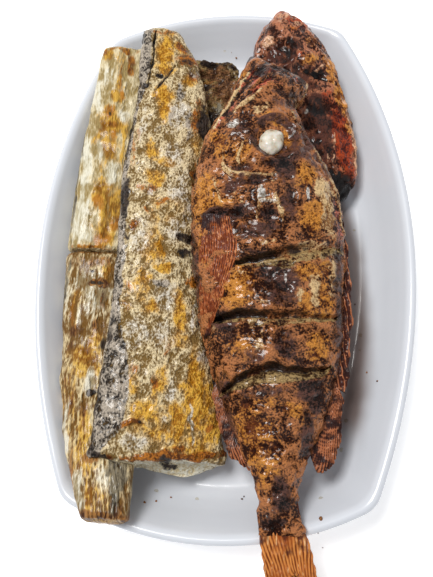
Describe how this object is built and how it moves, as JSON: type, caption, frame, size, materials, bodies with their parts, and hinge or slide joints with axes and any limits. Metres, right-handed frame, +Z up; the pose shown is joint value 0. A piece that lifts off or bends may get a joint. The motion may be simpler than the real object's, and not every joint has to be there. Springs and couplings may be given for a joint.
{
  "type": "plate of whole fried fish",
  "caption": "Rounded rectangular platter with a whole fried red fish lying on its side, a second fish head and pieces of cutlassfish.",
  "frame": {"origin": "middle of the platter's flat foot, on the surface that it stands on", "axes": "+Z up, +Y along the platter towards the fish's snout, +X towards the side where the whole fish lies"},
  "size_m": [0.2, 0.3265, 0.0609],
  "materials": {
    "melamine_white": "smooth glossy white melamine with a faint cool tone",
    "fried_red_skin": "oily fried skin, orange to dark brown, blistered and scorched",
    "fried_dark_skin": "oily scorched red-brown skin over bone",
    "silver_gold_skin": "silver-grey skin, speckled where it fried, with golden bare patches",
    "cream_gold_skin": "cream skin with golden-brown fried patches",
    "burnt_skin": "dark brown fried crust"
  },
  "bodies": {
    "root": {"platter": "melamine_white", "red_fish": "fried_red_skin", "red_fish_head": "fried_dark_skin", "cutlass_middle": "silver_gold_skin", "cutlass_upper_left": "cream_gold_skin", "cutlass_lower_left": "cream_gold_skin", "cutlass_back": "burnt_skin"}
  },
  "joints": []
}
